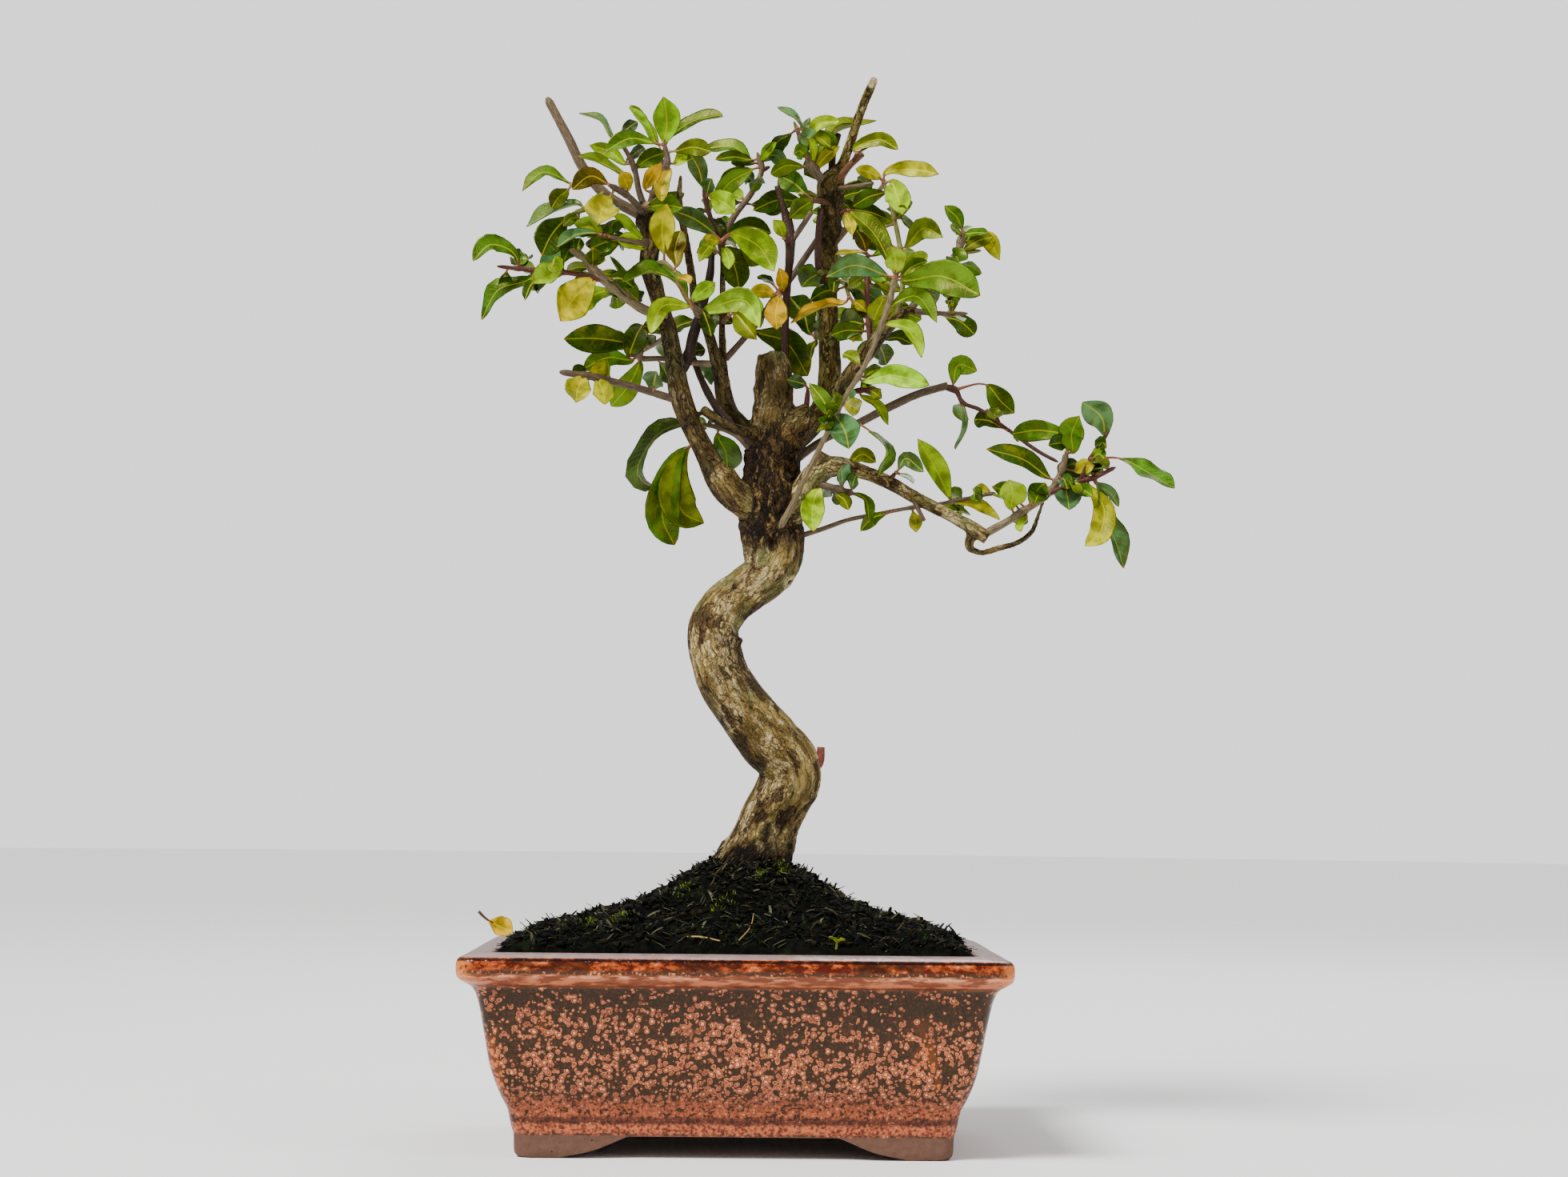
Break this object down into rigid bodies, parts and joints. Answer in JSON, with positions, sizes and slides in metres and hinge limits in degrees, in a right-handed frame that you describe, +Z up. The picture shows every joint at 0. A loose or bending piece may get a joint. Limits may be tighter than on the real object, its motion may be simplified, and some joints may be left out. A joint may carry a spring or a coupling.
{
  "type": "pomegranate bonsai",
  "caption": "Small pomegranate tree trained as a bonsai, with a winding trunk, limbs and leafy shoots, on a mound of soil in a glazed rectangular pot on corner feet.",
  "frame": {"origin": "middle of the underside of the whole object's box, on the surface that the pot stands on", "axes": "+Z up, along the tree's height; X along the pot's long side, -Y towards the side that the tree is shown from"},
  "size_m": [0.2644, 0.155, 0.4154],
  "materials": {
    "glazed_clay": "glossy brown glaze with fine salmon spots",
    "peat": "loose dark peat",
    "bark": "mottled bark",
    "leaf": "glossy green leaf",
    "yellow_leaf": "yellow leaf",
    "screen": "plastic screen"
  },
  "bodies": {
    "root": {"drain_mesh_left": "screen", "drain_mesh_right": "screen", "fallen_leaf": "yellow_leaf", "pot": "glazed_clay", "rear_centre": "leaf", "rear_crown_left": "leaf", "rear_level_left": "leaf", "rear_long_right": "leaf", "rear_low_mid": "leaf", "rear_middle": "leaf", "rear_right": "leaf", "rear_upright": "leaf", "seedling": "leaf", "shoot_arched_left": "leaf", "shoot_back_right": "leaf", "shoot_burl": "leaf", "shoot_centre_fan": "leaf", "shoot_crown_left": "leaf", "shoot_crown_middle": "leaf", "shoot_crown_right": "leaf", "shoot_cut_left": "leaf", "shoot_dark_right": "leaf", "shoot_deep_pair": "leaf", "shoot_far_left": "leaf", "shoot_fork_right": "leaf", "shoot_glossy_centre": "leaf", "shoot_gold_centre": "leaf", "shoot_gold_left": "leaf", "shoot_gold_right": "leaf", "shoot_hook_left": "leaf", "shoot_inner_left": "leaf", "shoot_knot_left": "leaf", "shoot_level_end": "leaf", "shoot_level_left": "leaf", "shoot_lime_centre": "leaf", "shoot_long_cut_left": "leaf", "shoot_long_right": "leaf", "shoot_low_back": "leaf", "shoot_low_left": "leaf", "shoot_low_mid_right": "leaf", "shoot_low_stub": "leaf", "shoot_low_top": "leaf", "shoot_mid_right": "leaf", "shoot_olive_middle": "leaf", "shoot_rising_tip": "leaf", "shoot_short_right": "leaf", "shoot_spike_left": "leaf", "shoot_spray_right": "leaf", "shoot_thin_right": "leaf", "shoot_top_middle": "leaf", "shoot_top_teal": "leaf", "shoot_upright_right": "leaf", "soil": "peat", "trunk_and_limbs": "bark"}
  },
  "joints": []
}
